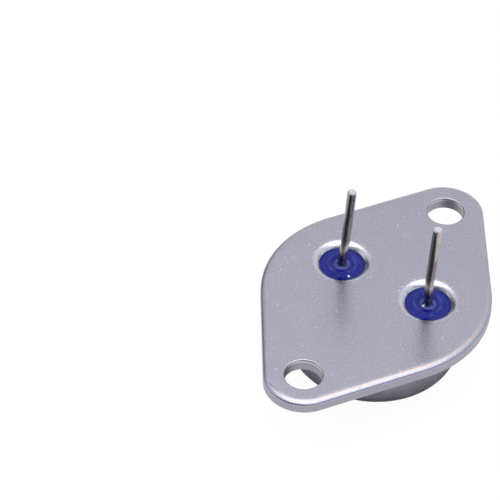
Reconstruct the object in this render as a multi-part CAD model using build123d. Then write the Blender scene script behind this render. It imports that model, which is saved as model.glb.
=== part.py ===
"""A power transistor in the steel can and rhombic flange package with two leads.

Units are millimetres. The part stands as it rests on a bench, on its can with the leads up:
+Z is square to the flange's seating face, out of it along the leads, and +X runs along the
line of the two screw holes, towards the hole that is nearer the leads. The origin is on the
seating face, midway between the screw holes. The can and all that it seals are below the
flange, at negative Z.
"""

import math
import os

from build123d import *

# Flange: one blanked steel plate, rounded by the blanking on its seating side.
HOLE_SPACING = 30.15
HOLE_D = 4.09
FLANGE_T = 1.4
FLANGE_WIDE_R = 12.6
FLANGE_END_R = 4.25
ROLL_WIDTH = 0.95
ROLL_DEPTH = 0.36
FLANGE_BREAK = 0.06
HOLE_ROLL_R = 0.18

# Glass seals, in two holes with coined, dished mouths.
LEAD_SPACING = 10.92
LEAD_ROW_X = 1.815
SEAL_D = 5.1
DISH_WIDTH = 1.0
DISH_DEPTH = 0.46
GLASS_INNER_RECESS = 0.1
GLASS_RIPPLE_R = 1.5
GLASS_RIPPLE_H = 0.09
GLASS_VALLEY_R = 1.02
GLASS_MENISCUS_H = 0.16

# Leads: round wire, straight in the glass, bent a little by handling outside it.
LEAD_D = 1.0
BASE_LEAD_OUT = 10.5
EMITTER_LEAD_OUT = 10.75
LEAD_STUB = 0.3
LEAD_BEND_Z = 3.0
LEAD_BEND_R = 12.0
LEAD_TIP_BREAK = 0.12
LEAN_AZIMUTH = -58.0
BASE_LEAN = (4.6, 2.5)
EMITTER_LEAN = (-0.8, 2.3)
POST_H = 2.2
POST_HEAD_D = 1.7
POST_HEAD_T = 0.4

# Can: a drawn cup with a welded rim.
CAN_D = 19.0
CAN_WALL = 0.5
CAN_H = 7.0
CAN_CROWN_R = 1.35
RIM_D = 23.1
RIM_T = 0.55
RIM_BREAK = 0.1
STEP_D = 20.9
STEP_H = 0.18
STEP_ROLL_R = 0.12
WALL_FOOT_R = 0.4

# Chip, and what carries and joins it.
SPREADER_X = 9.0
SPREADER_T = 1.0
SPREADER_SEAL_GAP = 0.2
SPREADER_SHIFT_X = -1.6
BRAZE_T = 0.06
BRAZE_INSET = 0.15
CHIP_SIDE = 2.9
CHIP_T = 0.22
CHIP_SHIFT_X = -0.2
SOLDER_T = 0.07
SOLDER_OVERHANG = 0.1
COATING_INSET = 0.08
COATING_H = 1.0

# Bond wires: round aluminium wire, flattened where it is bonded.
WIRE_D = 0.36
WIRE_SEAT = 0.12
WIRE_FOOT = 0.7
WIRE_LOOP = 1.0
WIRE_BEND_R = 0.35
WIRE_PAD_Y = 0.75

# Two lengths nearer than this are the same one.
SAME = 1e-4

# How far a cutting body stands clear of what it cuts.
CUTTER_CLEAR = 0.5

HOLE_X = HOLE_SPACING / 2
LEAD_Y = LEAD_SPACING / 2
SEAL_R = SEAL_D / 2
LEAD_R = LEAD_D / 2
CAN_R = CAN_D / 2
RIM_R = RIM_D / 2
FLANGE_BACK_Z = -FLANGE_T
GLASS_OUT_Z = -DISH_DEPTH
GLASS_IN_Z = FLANGE_BACK_Z + GLASS_INNER_RECESS
POST_Z = FLANGE_BACK_Z - POST_H
CAN_TOP_Z = FLANGE_BACK_Z - CAN_H
SPREADER_Y = LEAD_SPACING - SEAL_D - 2 * SPREADER_SEAL_GAP
CHIP_X = SPREADER_SHIFT_X + CHIP_SHIFT_X
SPREADER_TOP_Z = FLANGE_BACK_Z - BRAZE_T
SOLDER_TOP_Z = SPREADER_TOP_Z - SPREADER_T
CHIP_TOP_Z = SOLDER_TOP_Z - SOLDER_T
PAD_Z = CHIP_TOP_Z - CHIP_T


def point(radius, z):
    """A point of a turned section, which is drawn in the XZ plane."""
    return Vector(radius, 0, z)


def turned(edges):
    """The solid of a closed section turned about the Z axis."""
    return revolve(make_face(Wire(edges)), Axis.Z)


def flange_outline():
    """A wide middle arc and two end arcs about the screw holes, joined by tangent lines."""
    tangent = math.acos((FLANGE_WIDE_R - FLANGE_END_R) / HOLE_X)
    tangent_deg = math.degrees(tangent)
    normal = Vector(math.cos(tangent), math.sin(tangent), 0)
    wide = normal * FLANGE_WIDE_R
    end = Vector(HOLE_X, 0, 0) + normal * FLANGE_END_R
    edges = [
        CenterArc((HOLE_X, 0), FLANGE_END_R, -tangent_deg, 2 * tangent_deg),
        CenterArc((-HOLE_X, 0), FLANGE_END_R, 180 - tangent_deg, 2 * tangent_deg),
        CenterArc((0, 0), FLANGE_WIDE_R, tangent_deg, 180 - 2 * tangent_deg),
        CenterArc((0, 0), FLANGE_WIDE_R, 180 + tangent_deg, 180 - 2 * tangent_deg),
    ]
    for x_way in (1, -1):
        for y_way in (1, -1):
            edges.append(
                Line(
                    (x_way * wide.X, y_way * wide.Y),
                    (x_way * end.X, y_way * end.Y),
                )
            )
    return make_face(Wire(edges))


def roll_cutter(outline):
    """What the blanking takes off the seating edge: all outside a quarter ellipse, swept round."""
    side = outline.face().outer_wire()
    start = side @ 0
    along = side % 0
    outward = along.cross(Vector(0, 0, 1)).normalized()
    if start.dot(outward) < 0:
        outward = -outward
    section_plane = Plane(start, x_dir=outward, z_dir=outward.cross(Vector(0, 0, 1)))
    over = CUTTER_CLEAR
    section = make_face(
        Wire(
            [
                EllipticalCenterArc((-ROLL_WIDTH, -ROLL_DEPTH), ROLL_WIDTH, ROLL_DEPTH),
                Line((-ROLL_WIDTH, 0), (-ROLL_WIDTH, over)),
                Line((-ROLL_WIDTH, over), (over, over)),
                Line((over, over), (over, -ROLL_DEPTH)),
                Line((over, -ROLL_DEPTH), (0, -ROLL_DEPTH)),
            ]
        )
    )
    return sweep(section_plane * section, path=side)


def edges_at(shape, z):
    """The edges of a shape that lie wholly at one height."""
    return [
        edge
        for edge in shape.edges()
        if abs(edge.bounding_box().min.Z - z) < SAME
        and abs(edge.bounding_box().max.Z - z) < SAME
    ]


def dish_cutter():
    """The seal's bore with its rounded mouth, which is tangent to the seating face."""
    arc_r = (DISH_WIDTH**2 + DISH_DEPTH**2) / (2 * DISH_DEPTH)
    mouth_r = SEAL_R + DISH_WIDTH
    half_turn = math.asin(DISH_WIDTH / arc_r) / 2
    middle = point(
        mouth_r - arc_r * math.sin(half_turn),
        -arc_r + arc_r * math.cos(half_turn),
    )
    above, below = CUTTER_CLEAR, FLANGE_BACK_Z - CUTTER_CLEAR
    return turned(
        [
            Line(point(0, above), point(mouth_r, above)),
            Line(point(mouth_r, above), point(mouth_r, 0)),
            ThreePointArc(point(mouth_r, 0), middle, point(SEAL_R, GLASS_OUT_Z)),
            Line(point(SEAL_R, GLASS_OUT_Z), point(SEAL_R, below)),
            Line(point(SEAL_R, below), point(0, below)),
            Line(point(0, below), point(0, above)),
        ]
    )


def build_flange():
    outline = flange_outline()
    plate = extrude(outline, -FLANGE_T)
    plate = chamfer(edges_at(plate, FLANGE_BACK_Z), FLANGE_BREAK)
    plate -= roll_cutter(outline)
    for x_way in (1, -1):
        plate -= Pos(x_way * HOLE_X, 0, FLANGE_BACK_Z / 2) * Cylinder(HOLE_D / 2, 3 * FLANGE_T)
    rims = [
        edge
        for edge in edges_at(plate, 0)
        if edge.geom_type == GeomType.CIRCLE and abs(edge.radius - HOLE_D / 2) < SAME
    ]
    plate = fillet(rims, HOLE_ROLL_R)
    for y_way in (1, -1):
        plate -= Pos(LEAD_ROW_X, y_way * LEAD_Y, 0) * dish_cutter()
    return plate


def build_seal():
    """A bead of glass fused in the flange's bore and round the lead, rippled on its outside."""
    valley_z = GLASS_OUT_Z - GLASS_RIPPLE_H / 2
    top = Spline(
        point(LEAD_R, GLASS_OUT_Z + GLASS_MENISCUS_H),
        point(GLASS_VALLEY_R, valley_z),
        point(GLASS_RIPPLE_R, GLASS_OUT_Z + GLASS_RIPPLE_H / 2),
        point((GLASS_RIPPLE_R + SEAL_R) / 2, valley_z),
        point(SEAL_R, GLASS_OUT_Z),
    )
    return turned(
        [
            top,
            Line(point(SEAL_R, GLASS_OUT_Z), point(SEAL_R, GLASS_IN_Z)),
            Line(point(SEAL_R, GLASS_IN_Z), point(LEAD_R, GLASS_IN_Z)),
            Line(point(LEAD_R, GLASS_IN_Z), point(LEAD_R, GLASS_OUT_Z + GLASS_MENISCUS_H)),
        ]
    )


def lead_route(lean, out):
    """The lead's centre line: out of the glass, then two leans off square in one plane."""
    lower, upper = (math.radians(angle) for angle in lean)
    azimuth = math.radians(LEAN_AZIMUTH)
    sideways = Vector(math.cos(azimuth), math.sin(azimuth), 0)
    up = Vector(0, 0, 1)
    start = Vector(0, 0, POST_Z)
    stub = Vector(0, 0, LEAD_STUB)
    bend = stub + (up * math.cos(lower) + sideways * math.sin(lower)) * (LEAD_BEND_Z - LEAD_STUB)
    tip = bend + (up * math.cos(upper) + sideways * math.sin(upper)) * (out - LEAD_BEND_Z)
    return start, stub, bend, tip


def build_lead(lean, out):
    """Drawn wire with an upset head on its inner end, for the bond wire."""
    start, stub, bend, tip = lead_route(lean, out)
    radii = [LEAD_BEND_R, LEAD_BEND_R]
    path = FilletPolyline(start, stub, bend, tip, radius=radii)
    wire = sweep(Plane(start, z_dir=(0, 0, 1)) * Circle(LEAD_R), path=path)
    tip_edges = [
        edge
        for edge in wire.edges()
        if edge.geom_type == GeomType.CIRCLE and (edge.arc_center - tip).length < LEAD_R / 2
    ]
    wire = chamfer(tip_edges, LEAD_TIP_BREAK)
    head = Pos(0, 0, POST_Z + POST_HEAD_T / 2) * Cylinder(POST_HEAD_D / 2, POST_HEAD_T)
    return wire + head


def build_can():
    """A drawn cup with its mouth turned out to a flat rim, and a coined step round its foot."""
    back = FLANGE_BACK_Z
    face = back - RIM_T
    step_r = STEP_D / 2
    step_z = face - STEP_H
    inner_crown_r = CAN_CROWN_R - CAN_WALL
    shoulder_z = CAN_TOP_Z + CAN_CROWN_R
    roof_z = CAN_TOP_Z + CAN_WALL
    eighth = math.sqrt(0.5)
    wall_r = CAN_R - CAN_WALL
    foot = WALL_FOOT_R
    return turned(
        [
            Line(point(wall_r, back), point(RIM_R - RIM_BREAK, back)),
            Line(point(RIM_R - RIM_BREAK, back), point(RIM_R, back - RIM_BREAK)),
            Line(point(RIM_R, back - RIM_BREAK), point(RIM_R, face + RIM_BREAK)),
            Line(point(RIM_R, face + RIM_BREAK), point(RIM_R - RIM_BREAK, face)),
            Line(point(RIM_R - RIM_BREAK, face), point(step_r + STEP_ROLL_R, face)),
            Line(point(step_r + STEP_ROLL_R, face), point(step_r - STEP_ROLL_R, step_z)),
            Line(point(step_r - STEP_ROLL_R, step_z), point(CAN_R + foot, step_z)),
            ThreePointArc(
                point(CAN_R + foot, step_z),
                point(CAN_R + foot * (1 - eighth), step_z - foot * (1 - eighth)),
                point(CAN_R, step_z - foot),
            ),
            Line(point(CAN_R, step_z - foot), point(CAN_R, shoulder_z)),
            ThreePointArc(
                point(CAN_R, shoulder_z),
                point(
                    CAN_R - CAN_CROWN_R * (1 - eighth),
                    CAN_TOP_Z + CAN_CROWN_R * (1 - eighth),
                ),
                point(CAN_R - CAN_CROWN_R, CAN_TOP_Z),
            ),
            Line(point(CAN_R - CAN_CROWN_R, CAN_TOP_Z), point(0, CAN_TOP_Z)),
            Line(point(0, CAN_TOP_Z), point(0, roof_z)),
            Line(point(0, roof_z), point(CAN_R - CAN_CROWN_R, roof_z)),
            ThreePointArc(
                point(CAN_R - CAN_CROWN_R, roof_z),
                point(
                    CAN_R - CAN_CROWN_R + inner_crown_r * eighth,
                    shoulder_z - inner_crown_r * eighth,
                ),
                point(wall_r, shoulder_z),
            ),
            Line(point(wall_r, shoulder_z), point(wall_r, back)),
        ]
    )


def slab(x, x_size, y_size, top_z, thickness):
    """A flat block on the line of the screw holes, hung down from the height of its top."""
    return Pos(x, 0, top_z - thickness / 2) * Box(x_size, y_size, thickness)


def build_braze():
    braze_x = SPREADER_X - 2 * BRAZE_INSET
    braze_y = SPREADER_Y - 2 * BRAZE_INSET
    return slab(SPREADER_SHIFT_X, braze_x, braze_y, FLANGE_BACK_Z, BRAZE_T)


def build_spreader():
    return slab(SPREADER_SHIFT_X, SPREADER_X, SPREADER_Y, SPREADER_TOP_Z, SPREADER_T)


def build_solder():
    side = CHIP_SIDE + 2 * SOLDER_OVERHANG
    return slab(CHIP_X, side, side, SOLDER_TOP_Z, SOLDER_T)


def build_chip():
    return slab(CHIP_X, CHIP_SIDE, CHIP_SIDE, CHIP_TOP_Z, CHIP_T)


def build_bond_wire(y_way):
    """A looped wire from a pad on the chip to a post's head, sunk by its seat at each foot.

    The foot's round is cut flat afterwards by what it is bonded to.
    """
    drop = WIRE_D / 2 - WIRE_SEAT
    pad = Vector(CHIP_X, y_way * WIRE_PAD_Y, PAD_Z - drop)
    post = Vector(LEAD_ROW_X, y_way * LEAD_Y, POST_Z - drop)
    level = Vector(post.X - pad.X, post.Y - pad.Y, 0)
    along = level.normalized()
    half_foot = along * (WIRE_FOOT / 2)
    loop = Vector(0, 0, min(pad.Z, post.Z) - WIRE_LOOP)
    corners = [
        pad - half_foot,
        pad + half_foot,
        Vector(pad.X, pad.Y, 0) + half_foot + level / 4 + loop,
        Vector(post.X, post.Y, 0) - half_foot - level / 4 + loop,
        post - half_foot,
        post + half_foot,
    ]
    path = FilletPolyline(*corners, radius=[WIRE_BEND_R] * (len(corners) - 2))
    return sweep(Plane(corners[0], z_dir=along) * Circle(WIRE_D / 2), path=path)


def build_coating():
    """A domed drop of silicone on the heat spreader, over the chip."""
    foot_r = SPREADER_Y / 2 - COATING_INSET
    ball_r = (foot_r**2 + COATING_H**2) / (2 * COATING_H)
    ball = Pos(CHIP_X, 0, SOLDER_TOP_Z - COATING_H + ball_r) * Sphere(ball_r)
    below_spreader = Pos(CHIP_X, 0, SOLDER_TOP_Z - COATING_H) * Cylinder(foot_r, 2 * COATING_H)
    return ball & below_spreader


def main():
    os.makedirs("parts", exist_ok=True)
    base_at = Pos(LEAD_ROW_X, LEAD_Y, 0)
    emitter_at = Pos(LEAD_ROW_X, -LEAD_Y, 0)
    base_lead = base_at * build_lead(BASE_LEAN, BASE_LEAD_OUT)
    emitter_lead = emitter_at * build_lead(EMITTER_LEAN, EMITTER_LEAD_OUT)
    solder = build_solder()
    chip = build_chip()
    base_wire = build_bond_wire(1) - chip - base_lead
    emitter_wire = build_bond_wire(-1) - chip - emitter_lead
    nodes = {
        "flange": build_flange(),
        "can": build_can(),
        "base_lead": base_lead,
        "emitter_lead": emitter_lead,
        "base_glass_seal": base_at * build_seal(),
        "emitter_glass_seal": emitter_at * build_seal(),
        "spreader_braze": build_braze(),
        "heat_spreader": build_spreader(),
        "chip_solder": solder,
        "chip": chip,
        "base_bond_wire": base_wire,
        "emitter_bond_wire": emitter_wire,
        "chip_coating": build_coating() - solder - chip - base_wire - emitter_wire,
    }
    for name, shape in nodes.items():
        export_step(shape, f"parts/{name}.step")


main()
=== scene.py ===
"""The looks of a power transistor in a steel can and flange package, lying on its can.

The part stays as it was modelled: origin on the flange's seating face midway between the
screw holes, +Z along the leads, +X towards the screw hole that is nearer the leads. Lengths
are metres, and millimetres where a finish measures its own surface.
"""

import math

import bpy
from mathutils import Matrix, Vector


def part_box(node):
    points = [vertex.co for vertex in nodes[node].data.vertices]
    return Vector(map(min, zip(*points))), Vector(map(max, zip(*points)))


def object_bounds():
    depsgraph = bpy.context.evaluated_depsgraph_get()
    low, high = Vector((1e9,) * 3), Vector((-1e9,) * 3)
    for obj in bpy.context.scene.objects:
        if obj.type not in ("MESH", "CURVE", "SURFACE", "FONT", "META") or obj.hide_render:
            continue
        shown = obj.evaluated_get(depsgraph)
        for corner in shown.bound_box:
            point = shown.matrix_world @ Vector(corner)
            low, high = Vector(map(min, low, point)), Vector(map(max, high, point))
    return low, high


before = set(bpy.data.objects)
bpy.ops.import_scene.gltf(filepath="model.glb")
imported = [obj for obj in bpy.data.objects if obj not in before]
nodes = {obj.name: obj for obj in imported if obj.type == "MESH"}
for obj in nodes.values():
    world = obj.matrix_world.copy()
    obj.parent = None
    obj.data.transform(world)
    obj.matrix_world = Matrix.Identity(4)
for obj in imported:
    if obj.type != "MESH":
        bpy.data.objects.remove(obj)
cad_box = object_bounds()


# Flange: a rhombic plate blanked from cold rolled steel, barrelled and nickel plated. The
# blanking punch rounds the seating side's edge and shears the wall below it; the seals' holes
# are coined to a dish. The can is welded to its back.

MM = 0.001
SCREW_HOLE_X = 15.075
SCREW_HOLE_R = 2.045
ROLL_DEPTH = 0.36
NICKEL = (0.66, 0.645, 0.69, 1)
NICKEL_RUBBED = (0.93, 0.92, 0.95, 1)
NICKEL_DULL = (0.52, 0.51, 0.555, 1)
SHEARED_STEEL = (0.39, 0.385, 0.445, 1)
PUNCHED_STEEL = (0.33, 0.325, 0.36, 1)
COINING_DARK = (0.14, 0.135, 0.15, 1)
PAINTED_WARM_HIGHLIGHT = (0.84, 0.63, 0.51, 1)
PAINTED_DARK_EDGE_BLUE = (0.15, 0.20, 0.46, 1)
BRUSH_AZIMUTH = math.radians(-59)
WARM_HIGHLIGHT_AZIMUTH = math.radians(236)
DISH_WIDTH = 1.0
LEAD_ROW_X = 1.815
LEAD_Y = 5.46
SEAL_R = 2.55
NICK_STAIN = (0.10, 0.075, 0.06, 1)
WHITE = (1, 1, 1, 1)

# Places of the colour sockets on a Mix node, which has a set of sockets for each kind of value.
MIX_FACTOR, MIX_A, MIX_B, MIX_RESULT = 0, 6, 7, 2


class Field:
    """A value that varies over a surface: a shader socket on which arithmetic can be written."""

    def __init__(self, finish, socket):
        self.finish = finish
        self.socket = socket

    def math(self, operation, *values):
        return self.finish.node("Math", {"operation": operation}, dict(enumerate(values)))

    def __add__(self, other):
        return self.math("ADD", self, other)

    def __radd__(self, other):
        return self.math("ADD", other, self)

    def __sub__(self, other):
        return self.math("SUBTRACT", self, other)

    def __rsub__(self, other):
        return self.math("SUBTRACT", other, self)

    def __mul__(self, other):
        return self.math("MULTIPLY", self, other)

    def __rmul__(self, other):
        return self.math("MULTIPLY", other, self)

    def __abs__(self):
        return self.math("ABSOLUTE", self)

    def root(self):
        return self.math("SQRT", self)

    def larger(self, other):
        return self.math("MAXIMUM", self, other)

    def step(self, start, end):
        """0 at start and 1 at end, smooth between, whichever is the larger."""
        low, high = min(start, end), max(start, end)
        rise = self.finish.node(
            "MapRange",
            {"interpolation_type": "SMOOTHSTEP"},
            {"Value": self, "From Min": low, "From Max": high},
        )
        return rise if start < end else 1 - rise

    def band(self, middle, half_width):
        """1 on the middle value, 0 from half a width away."""
        return abs(self - middle).step(half_width, 0.0)


class Finish:
    """A material of one Principled shader, with its nodes made by name."""

    def __init__(self, name, **constants):
        self.material = bpy.data.materials.new(name)
        self.material.use_nodes = True
        self.tree = self.material.node_tree
        self.shader = self.tree.nodes["Principled BSDF"]
        for socket, value in constants.items():
            self.shader.inputs[socket.replace("_", " ")].default_value = value

    def node(self, kind, settings, inputs, output=0):
        made = self.tree.nodes.new("ShaderNode" + kind)
        for name, value in settings.items():
            setattr(made, name, value)
        for name, value in inputs.items():
            self.join(made.inputs[name], value)
        return Field(self, made.outputs[output])

    def join(self, socket, value):
        if isinstance(value, Field):
            self.tree.links.new(value.socket, socket)
        else:
            socket.default_value = value

    def place(self):
        """Where a point of the surface is, in millimetres of the part's own frame."""
        metres = self.node("TexCoord", {}, {}, "Object")
        return self.node("VectorMath", {"operation": "SCALE"}, {0: metres, "Scale": 1 / MM})

    def axes(self, vector):
        split = {"XYZ"[i]: self.node("SeparateXYZ", {}, {0: vector}, i) for i in range(3)}
        return split["X"], split["Y"], split["Z"]

    def facing(self):
        return self.axes(self.node("NewGeometry", {}, {}, "Normal"))

    def noise(self, place, scale, detail=3.0, roughness=0.55, stretch=None):
        """Noise about its middle: 0.5 on average, at this many blotches to the millimetre."""
        if stretch:
            place = self.node("VectorMath", {"operation": "MULTIPLY"}, {0: place, 1: stretch})
        values = {"Vector": place, "Scale": scale, "Detail": detail, "Roughness": roughness}
        return self.node("TexNoise", {}, values)

    def cells(self, place, scale):
        """How far the nearest of many scattered points is, for this many to the millimetre."""
        return self.node("TexVoronoi", {}, {"Vector": place, "Scale": scale}, "Distance")

    def blend(self, share, first, second):
        """The first colour where share is 0, the second where it is 1."""
        values = {MIX_FACTOR: share, MIX_A: first, MIX_B: second}
        return self.node("Mix", {"data_type": "RGBA"}, values, MIX_RESULT)

    def relief(self, height, depth):
        """Turns a height field into a normal; depth is the height of 1, in metres."""
        return self.node("Bump", {}, {"Height": height, "Distance": depth, "Strength": 1.0})

    def paint(self, **fields):
        for socket, value in fields.items():
            self.join(self.shader.inputs[socket.replace("_", " ")], value)

    def cover(self, *names):
        for name in names:
            for slot in nodes[name].material_slots:
                slot.material = self.material


def distance(x, y, middle_x, middle_y):
    """How far a point is from an upright axis, in the lengths of x and y."""
    out_x = x - middle_x
    out_y = y - middle_y
    return (out_x * out_x + out_y * out_y).root()


def stroke(x, y, start, end, half_width):
    """1 along a short straight mark between two points of the plate, 0 off it."""
    run = (Vector(end) - Vector(start)).length
    way = (Vector(end) - Vector(start)) / run
    along = (x - start[0]) * way.x + (y - start[1]) * way.y
    across = (x - start[0]) * -way.y + (y - start[1]) * way.x
    inside = along.step(-half_width, half_width) * along.step(run + half_width, run - half_width)
    return inside * across.band(0.0, half_width)


plate = Finish("satin_nickel_plate", Metallic=1.0)
spot = plate.place()
x, y, z = plate.axes(spot)
face_x, face_y, up = plate.facing()
to_warm_highlight = face_x * math.cos(WARM_HIGHLIGHT_AZIMUTH) + face_y * math.sin(WARM_HIGHLIGHT_AZIMUTH)
wall = z.step(-ROLL_DEPTH * 0.8, -ROLL_DEPTH * 1.15) * up.step(0.5, 0.1)
roll = up.step(0.999, 0.97) * (1 - wall)
in_hole = distance(abs(x), y, SCREW_HOLE_X, 0.0).step(SCREW_HOLE_R + 0.12, SCREW_HOLE_R + 0.02)
from_seal = distance(x, abs(y), LEAD_ROW_X, LEAD_Y)
dish = from_seal.step(SEAL_R + DISH_WIDTH + 0.1, SEAL_R + DISH_WIDTH - 0.15)
along = x * math.cos(BRUSH_AZIMUTH) + y * math.sin(BRUSH_AZIMUTH)
across = y * math.cos(BRUSH_AZIMUTH) - x * math.sin(BRUSH_AZIMUTH)
brushed = plate.node("CombineXYZ", {}, {"X": along * 0.9, "Y": across * 4.5, "Z": z})
grain = plate.noise(spot, 4.2, 5.0, 0.8)
clouds = plate.noise(spot, 0.35, 3.0, 0.5)
peening = plate.noise(spot, 2.2, 3.0, 0.6)
rubbing = plate.noise(brushed, 1.0, 4.0, 0.7)
streaks = plate.noise(spot, 1.0, 4.0, 0.6, (5.0, 5.0, 0.4))
bare = plate.noise(spot, 0.8, 1.0)
specks = plate.cells(spot, 0.9).step(0.10, 0.055) * bare.step(0.58, 0.64)
specks = specks.larger(plate.cells(spot, 2.3).step(0.26, 0.14) * dish)
specks = specks.larger(plate.cells(brushed, 1.3).step(0.16, 0.09) * bare.step(0.42, 0.36))
coined = from_seal.band(SEAL_R + 0.08, 0.26) * plate.noise(spot, 1.1, 3.0).step(0.46, 0.58)
dints = plate.cells(spot, 0.55).step(0.05, 0.02)
nick = stroke(x, y, (-18.05, 2.5), (-18.55, 1.0), 0.11)
tone = plate.blend(grain.step(0.36, 0.66), NICKEL_DULL, NICKEL)
tone = plate.blend(rubbing.step(0.48, 0.68) * 0.45, tone, NICKEL_DULL)
tone = plate.blend(clouds.step(0.60, 0.35) * 0.25, tone, NICKEL_DULL)
# Painted shade: the plate darkens towards +X, its far end from the view.
tone = plate.blend(x.step(-6.0, 16.0) * 0.35, tone, NICKEL_DULL)
# Painted highlight: a warm tint on the top of the rounded edge, on the side that faces the view.
warm_highlight = up.band(0.975, 0.024) * to_warm_highlight.step(0.04, 0.20) * (1 - dish)
tone = plate.blend(warm_highlight * 0.6, tone, PAINTED_WARM_HIGHLIGHT)
# Painted dark reflection: a dark blue line along the steep part of the rounded edge, outside the
# screw holes.
tone = plate.blend(up.band(0.58, 0.34) * (1 - in_hole) * 0.7, tone, PAINTED_DARK_EDGE_BLUE)
tone = plate.blend(wall, tone, SHEARED_STEEL)
tone = plate.blend(in_hole * wall * (0.35 + streaks * 0.9), tone, PUNCHED_STEEL)
tone = plate.blend(dish * up.step(0.995, 0.93) * 0.6, tone, NICKEL_RUBBED)
tone = plate.blend(coined * 0.55, tone, COINING_DARK)
tone = plate.blend(specks * (1 - wall), tone, NICKEL_RUBBED)
tone = plate.blend(nick * 0.55, tone, NICK_STAIN)
shoulder = roll * (1 - dish)
dull = 0.19 + grain * 0.12 + rubbing * 0.04 + shoulder * 0.08 + wall * (0.13 + streaks * 0.10)
height = grain * 0.5 + peening * 0.7 + rubbing * 0.5 - specks * 0.9 - nick * 3.0
height = height * (1 - wall) + wall * (streaks * 1.6 + grain * 0.4) - dints * 0.6
plate.paint(Base_Color=tone, Roughness=dull, Normal=plate.relief(height, 0.006 * MM))
plate.cover("flange")


# Can: a cup drawn from thin steel, nickel plated with the flange and resistance welded to its
# back by the flat rim. Drawing leaves faint upright lines on the wall, which has painted shade
# darkening it towards the crown, near the floor, and the top is brighter from the tumbling
# barrel.

CAN_NICKEL = (0.42, 0.41, 0.45, 1)
CAN_DULL = (0.31, 0.30, 0.34, 1)
CAN_RUBBED = (0.78, 0.78, 0.81, 1)
CAN_PAINTED_SHADE = (0.075, 0.072, 0.087, 1)
WELD_SCALE = (0.16, 0.15, 0.16, 1)
CAN_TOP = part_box("can")[0][2] / MM
RIM_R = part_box("can")[1][0] / MM

cup = Finish("drawn_nickel_can", Metallic=1.0)
spot = cup.place()
x, y, z = cup.axes(spot)
_, _, up = cup.facing()
from_axis = distance(x, y, 0.0, 0.0)
top = up.step(-0.75, -0.95)
crown = z.step(CAN_TOP + 1.5, CAN_TOP + 0.3) * (1 - top)
grain = cup.noise(spot, 8.0, 5.0, 0.7)
clouds = cup.noise(spot, 0.4, 3.0, 0.5)
draw_lines = cup.noise(spot, 1.0, 4.0, 0.6, (3.0, 3.0, 0.12))
scuffs = cup.noise(spot, 1.0, 3.0, 0.6, (0.8, 5.0, 0.8)).step(0.62, 0.75) * top
weld = from_axis.step(RIM_R - 0.22, RIM_R - 0.04)
soot = weld * (0.35 + cup.noise(spot, 1.6, 3.0) * 0.6)
tone = cup.blend(clouds.step(0.35, 0.65), CAN_DULL, CAN_NICKEL)
tone = cup.blend(draw_lines.step(0.3, 0.75) * (1 - top) * 0.5, tone, CAN_DULL)
# Painted shade: the wall darkens towards the crown, close to the floor.
painted_low_shade = z.step(-2.0, CAN_TOP + 1.2) * (1 - top)
tone = cup.blend(painted_low_shade * 0.2, tone, CAN_PAINTED_SHADE)
tone = cup.blend((crown * 0.35 + scuffs * 0.35) * grain.step(0.3, 0.7), tone, CAN_RUBBED)
tone = cup.blend(soot, tone, WELD_SCALE)
dull = 0.24 + grain * 0.10 + draw_lines * 0.08 + scuffs * 0.12 + weld * 0.15
height = grain * 0.3 + clouds * 0.5 + draw_lines * (1 - top) * 0.7 - scuffs * 0.2
cup.paint(Base_Color=tone, Roughness=dull, Normal=cup.relief(height, 0.006 * MM))
cup.cover("can")


# Leads: drawn nickel iron wire with a bright plated skin, cut and broken at the tip. Each
# passes through its glass, and handling has leaned it a little. The side towards the view has a
# painted dark reflection, streaked along the wire, and the side next to it is darker and bluer.

LEAD_NICKEL = (0.52, 0.465, 0.425, 1)
LEAD_TARNISH = (0.20, 0.175, 0.165, 1)
LEAD_PAINTED_DARK_REFLECTION = (0.035, 0.032, 0.034, 1)
DARK_REFLECTION_AZIMUTH = math.radians(192)
SIDE_AZIMUTH = math.radians(128)
LEAD_DARK_BLUE_SIDE = (0.20, 0.21, 0.26, 1)
LEAD_CUT = (0.86, 0.85, 0.85, 1)

wire = Finish("drawn_lead_wire", Metallic=1.0)
spot = wire.place()
x, y, z = wire.axes(spot)
face_x, face_y, up = wire.facing()
to_dark_reflection = face_x * math.cos(DARK_REFLECTION_AZIMUTH) + face_y * math.sin(DARK_REFLECTION_AZIMUTH)
to_side = face_x * math.cos(SIDE_AZIMUTH) + face_y * math.sin(SIDE_AZIMUTH)
die_lines = wire.noise(spot, 1.0, 4.0, 0.6, (12.0, 12.0, 0.25))
blotches = wire.noise(spot, 0.9, 3.0, 0.6)
pits = wire.cells(spot, 3.0).step(0.10, 0.03) * blotches.step(0.5, 0.6)
cut_end = up.step(0.5, 0.8)
# Painted dark reflection: the side towards the view is painted nearly black, streaked along the
# wire.
painted_dark_reflection = to_dark_reflection.step(0.88, 0.99) * (0.35 + die_lines * 0.7) * (1 - cut_end)
tone = wire.blend(blotches.step(0.42, 0.70) * 0.6, LEAD_NICKEL, LEAD_TARNISH)
tone = wire.blend(die_lines.step(0.55, 0.80) * 0.4, tone, LEAD_TARNISH)
# The side towards azimuth 128 degrees is darker and bluer.
tone = wire.blend(to_side.step(0.55, 0.85) * 0.7, tone, LEAD_DARK_BLUE_SIDE)
tone = wire.blend(painted_dark_reflection, tone, LEAD_PAINTED_DARK_REFLECTION)
tone = wire.blend(cut_end, tone, LEAD_CUT)
dull = 0.13 + die_lines * 0.08 + blotches * 0.05 + cut_end * 0.2
height = die_lines * 0.8 - pits * 0.6 + cut_end * wire.noise(spot, 7.0, 3.0) * 2.0
wire.paint(Base_Color=tone, Roughness=dull, Normal=wire.relief(height, 0.004 * MM))
wire.cover("base_lead", "emitter_lead")


# Seals: a bead of deep blue glass fused between the flange's hole and each lead. It wets both,
# so it climbs the lead, dips, and ripples towards the wall, with a milky ring of fine bubbles
# where it was hottest, round the lead.

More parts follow.
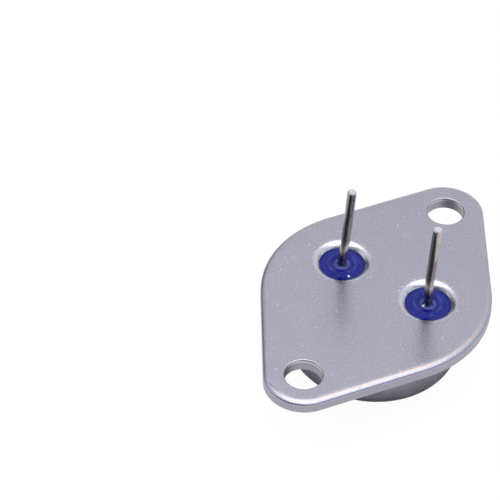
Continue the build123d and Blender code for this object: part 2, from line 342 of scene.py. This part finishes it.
GLASS_BLUE = (0.003, 0.009, 0.225, 1)
GLASS_DEEP = (0.002, 0.004, 0.092, 1)
GLASS_PALE = (0.018, 0.034, 0.35, 1)
GLASS_MILK = (0.42, 0.51, 0.82, 1)
BUBBLE_AND_GLINT_WHITE = (0.90, 0.93, 1.0, 1)
MILK_R = 0.74
RIPPLE_R = 1.50


def glass_seal(node, middle_y, painted_glint):
    """One seal's glass, measured from its lead, with a white glint painted at the given offset.
    """
    glass = Finish(node + "_glass", IOR=1.40)
    spot = glass.place()
    x, y, _ = glass.axes(spot)
    radius = distance(x, y, LEAD_ROW_X, middle_y)
    swirl = glass.noise(spot, 1.1, 4.0, 0.6)
    radius_bent = radius + (swirl - 0.5) * 0.25
    bubbles = glass.cells(spot, 6.5).step(0.22, 0.08)
    froth = radius_bent.band(MILK_R, 0.28) * (0.25 + bubbles * 0.75)
    ring = radius_bent.band(RIPPLE_R, 0.22) * swirl.step(0.35, 0.65)
    deep = radius_bent.step(SEAL_R - 0.35, SEAL_R - 0.02).larger(radius.step(0.66, 0.52))
    from_painted_glint = distance(x, y, LEAD_ROW_X + painted_glint[0], middle_y + painted_glint[1])
    tone = glass.blend(swirl.step(0.35, 0.65), GLASS_BLUE, GLASS_PALE)
    tone = glass.blend(0.65, GLASS_BLUE, tone)
    tone = glass.blend(deep * 0.8, tone, GLASS_DEEP)
    tone = glass.blend(ring * 0.13, tone, GLASS_MILK)
    tone = glass.blend(froth * 0.7, tone, GLASS_MILK)
    tone = glass.blend(bubbles * radius.band(0.66, 0.22) * 0.9, tone, BUBBLE_AND_GLINT_WHITE)
    # Painted highlight: a small white glint on the glass, at the given offset from the lead.
    tone = glass.blend(from_painted_glint.step(0.17, 0.10), tone, BUBBLE_AND_GLINT_WHITE)
    height = swirl * 3.0 + bubbles * froth * 2.0 + ring * 1.5
    glass.paint(
        Base_Color=tone,
        Roughness=0.05 + froth * 0.25 + swirl * 0.05,
        Normal=glass.relief(height, 0.01 * MM),
    )
    glass.cover(node)


glass_seal("base_glass_seal", LEAD_Y, (-1.2, -1.6))
glass_seal("emitter_glass_seal", -LEAD_Y, (-0.60, 0.25))


# Heat spreader and the braze under it: a block of copper brazed to the flange's back, which
# carries the chip. The copper is dull, with a bloom of oxide and the mill's rolling marks.

COPPER = (0.80, 0.42, 0.27, 1)
COPPER_BLOOM = (0.46, 0.20, 0.13, 1)
BRAZE_SILVER = (0.78, 0.76, 0.70, 1)
BRAZE_FLUX = (0.50, 0.45, 0.36, 1)

copper = Finish("rolled_copper", Metallic=1.0)
spot = copper.place()
bloom = copper.noise(spot, 0.5, 5.0, 0.6)
rolling = copper.noise(spot, 1.0, 3.0, 0.6, (0.4, 9.0, 9.0))
tone = copper.blend(bloom.step(0.4, 0.7), COPPER, COPPER_BLOOM)
relief = copper.relief(rolling, 0.004 * MM)
copper.paint(Base_Color=tone, Roughness=0.28 + bloom * 0.2, Normal=relief)
copper.cover("heat_spreader")

braze = Finish("silver_braze", Metallic=1.0)
spot = braze.place()
flow = braze.noise(spot, 1.4, 4.0, 0.6)
tone = braze.blend(flow.step(0.45, 0.65), BRAZE_SILVER, BRAZE_FLUX)
braze.paint(Base_Color=tone, Roughness=0.3 + flow * 0.3, Normal=braze.relief(flow, 0.01 * MM))
braze.cover("spreader_braze")


# Chip and its solder: a square of silicon with an aluminium pattern on it, soldered to the
# copper. The pattern is a comb of emitter fingers between base fingers.

SILICON = (0.10, 0.11, 0.15, 1)
CHIP_METAL = (0.82, 0.82, 0.84, 1)
SOLDER_GREY = (0.50, 0.50, 0.52, 1)
SOLDER_BRIGHT = (0.72, 0.72, 0.73, 1)
FINGER_PITCH = 0.24

silicon = Finish("patterned_silicon")
spot = silicon.place()
x, y, _ = silicon.axes(spot)
_, _, up = silicon.facing()
to_finger = y.math("PINGPONG", y, FINGER_PITCH / 2)
fingers = to_finger.step(0.05, 0.07) * up.step(-0.5, -0.9)
tone = silicon.blend(fingers, SILICON, CHIP_METAL)
haze = silicon.noise(spot, 3.0, 3.0)
silicon.paint(Base_Color=tone, Metallic=fingers, Roughness=0.12 + haze * 0.15)
silicon.cover("chip")

solder = Finish("soft_solder", Metallic=1.0)
spot = solder.place()
grains = solder.cells(spot, 2.5)
tone = solder.blend(grains.step(0.1, 0.6), SOLDER_BRIGHT, SOLDER_GREY)
relief = solder.relief(grains, 0.008 * MM)
solder.paint(Base_Color=tone, Roughness=0.35 + grains * 0.2, Normal=relief)
solder.cover("chip_solder")


# Bond wires: thick aluminium wire, pressed flat by ultrasound where it is bonded to the chip
# and to the leads' heads.

ALUMINIUM = (0.86, 0.86, 0.87, 1)
ALUMINIUM_DULL = (0.62, 0.62, 0.64, 1)

bond = Finish("soft_aluminium_wire", Metallic=1.0)
spot = bond.place()
skin = bond.noise(spot, 4.0, 4.0, 0.6)
tone = bond.blend(skin.step(0.35, 0.7), ALUMINIUM, ALUMINIUM_DULL)
bond.paint(Base_Color=tone, Roughness=0.22 + skin * 0.2, Normal=bond.relief(skin, 0.006 * MM))
bond.cover("base_bond_wire", "emitter_bond_wire")


# Chip coating: a domed drop of milky silicone, cured over the chip to keep it dry.

SILICONE = (0.80, 0.79, 0.74, 1)
SILICONE_THIN = (0.62, 0.58, 0.50, 1)

silicone = Finish("cured_silicone", IOR=1.41)
spot = silicone.place()
cure = silicone.noise(spot, 0.9, 3.0)
tone = silicone.blend(cure.step(0.35, 0.7), SILICONE, SILICONE_THIN)
relief = silicone.relief(cure, 0.03 * MM)
silicone.paint(Base_Color=tone, Roughness=0.18 + cure * 0.12, Normal=relief)
silicone.cover("chip_coating")


# Floor: a plain white sheet under the can. It is white to the camera and in reflections, and
# takes the part's own soft shadow. In reflections its white glow is left out in a ring round the
# can, which paints shade there for the can's wall to mirror close to the floor. It is clear
# from beneath, so that the part's underside can be looked at.

FLOOR_SIZE = 3.0
FLOOR_WHITE = (0.84, 0.84, 0.845, 1)
FLOOR_GLOW_SHARE = 0.9
FLOOR_GLOW = 1.06
FLOOR_CLEAR = 0.00002
TOUCHED_R = 8.0
CROWN_R = 9.0
SHADED_R = 9.5
OPEN_R = 16.0

floor_level = cad_box[0][2] - FLOOR_CLEAR
half = FLOOR_SIZE / 2
floor_mesh = bpy.data.meshes.new("floor")
corners = [(-half, -half, 0), (half, -half, 0), (half, half, 0), (-half, half, 0)]
floor_mesh.from_pydata(corners, [], [(0, 1, 2, 3)])
floor = bpy.data.objects.new("floor", floor_mesh)
floor.location = (0, 0, floor_level)
bpy.context.collection.objects.link(floor)

sheet = Finish("white_sheet", Base_Color=FLOOR_WHITE, Roughness=0.9)
sheet.shader.inputs["Specular IOR Level"].default_value = 0.0
seen = sheet.node("LightPath", {}, {}, "Is Camera Ray")
mirrored = sheet.node("LightPath", {}, {}, "Is Glossy Ray")
through = sheet.node("LightPath", {}, {}, "Is Transmission Ray")
glow = sheet.node("Emission", {}, {"Color": WHITE, "Strength": FLOOR_GLOW})
x, y, _ = sheet.axes(sheet.place())
reach = distance(x, y, 0.0, 0.0)
# Painted shade: for reflections the glow is left out from 9 mm round the can's axis, fading back
# in towards 16 mm; under the can, inside 8 mm, it glows as elsewhere.
bright = reach.step(SHADED_R, OPEN_R).larger(reach.step(CROWN_R, TOUCHED_R))
share = seen.larger(mirrored * bright).larger(through) * FLOOR_GLOW_SHARE
body = Field(sheet, sheet.shader.outputs[0])
lit = sheet.node("MixShader", {}, {0: share, 1: body, 2: glow})
beneath = sheet.node("NewGeometry", {}, {}, "Backfacing")
clear = sheet.node("BsdfTransparent", {}, {})
lit = sheet.node("MixShader", {}, {0: beneath, 1: lit, 2: clear})
sheet.join(sheet.tree.nodes["Material Output"].inputs["Surface"], lit)
floor_mesh.materials.append(sheet.material)


# Studio: one large soft box overhead in a pale room, with a dark panel on the side that the
# part is seen from and a smaller one low on its left. A panel is an azimuth, an elevation, and
# how near its edge and its core are to its middle.

BOX_SIZE = 0.34
BOX_HEIGHT = 0.33
BOX_LEVEL = 1.4
VIEW_AZIMUTH = math.radians(31.01)
VIEW_ELEVATION = math.radians(44.41)
ROOM_PALE = (0.68, 0.68, 0.765, 1)
ROOM_DARK = (0.09, 0.09, 0.115, 1)
DARK_PANELS = ((188, 38, 0.58, 0.93), (72, 10, 0.88, 0.97))


def room_way(azimuth, elevation):
    """The direction from the part to a place in the room."""
    level = math.cos(elevation)
    return Vector((level * math.cos(azimuth), level * math.sin(azimuth), math.sin(elevation)))


box_light = bpy.data.lights.new("soft_box", "AREA")
box_light.shape = "SQUARE"
box_light.size = BOX_SIZE
box_light.energy = BOX_LEVEL * math.pi * BOX_SIZE**2
box_lamp = bpy.data.objects.new("soft_box", box_light)
box_lamp.location = (-0.03, -0.02, BOX_HEIGHT)
box_lamp.rotation_euler = (0, 0, VIEW_AZIMUTH)
box_lamp.visible_camera = False
bpy.context.collection.objects.link(box_lamp)

world = bpy.data.worlds.new("studio")
world.use_nodes = True
bpy.context.scene.world = world


class Room(Finish):
    """The world's colour, made with the same nodes as a finish."""

    def __init__(self, room):
        self.tree = room.node_tree
        self.shader = self.tree.nodes["Background"]


room = Room(world)
way = room.node("TexCoord", {}, {}, "Generated")
colour = ROOM_PALE
for azimuth, elevation, edge, core in DARK_PANELS:
    panel_way = room_way(math.radians(azimuth), math.radians(elevation))
    both = {0: way, 1: panel_way}
    nearness = room.node("VectorMath", {"operation": "DOT_PRODUCT"}, both, "Value")
    colour = room.blend(nearness.step(edge, core), colour, ROOM_DARK)
seen = room.node("LightPath", {}, {}, "Is Camera Ray")
colour = room.blend(seen, colour, WHITE)
room.paint(Color=colour)


# Camera: a long lens held close to square with the room, looking down on the seating face
# from the side of the far screw hole and the emitter lead.

VIEW_DISTANCE = 0.3224
VIEW_LEAN = math.radians(2.23)
VIEW_AIM = Vector((-0.00245, 0.01476, 0.0))
LENS = 210.9
SENSOR = 36.0

view_way = room_way(VIEW_AZIMUTH, -VIEW_ELEVATION)
level_right = Vector((math.sin(VIEW_AZIMUTH), -math.cos(VIEW_AZIMUTH), 0))
level_up = level_right.cross(view_way)
camera_right = level_right * math.cos(VIEW_LEAN) + level_up * math.sin(VIEW_LEAN)
camera_up = level_up * math.cos(VIEW_LEAN) - level_right * math.sin(VIEW_LEAN)
camera_data = bpy.data.cameras.new("camera")
camera_data.lens = LENS
camera_data.sensor_width = SENSOR
camera_data.clip_start = 0.01
camera = bpy.data.objects.new("camera", camera_data)
turn = Matrix((camera_right, camera_up, -view_way)).transposed().to_4x4()
camera.matrix_world = Matrix.Translation(VIEW_AIM - view_way * VIEW_DISTANCE) @ turn
bpy.context.collection.objects.link(camera)
bpy.context.scene.camera = camera
bpy.context.scene.view_settings.view_transform = "Standard"
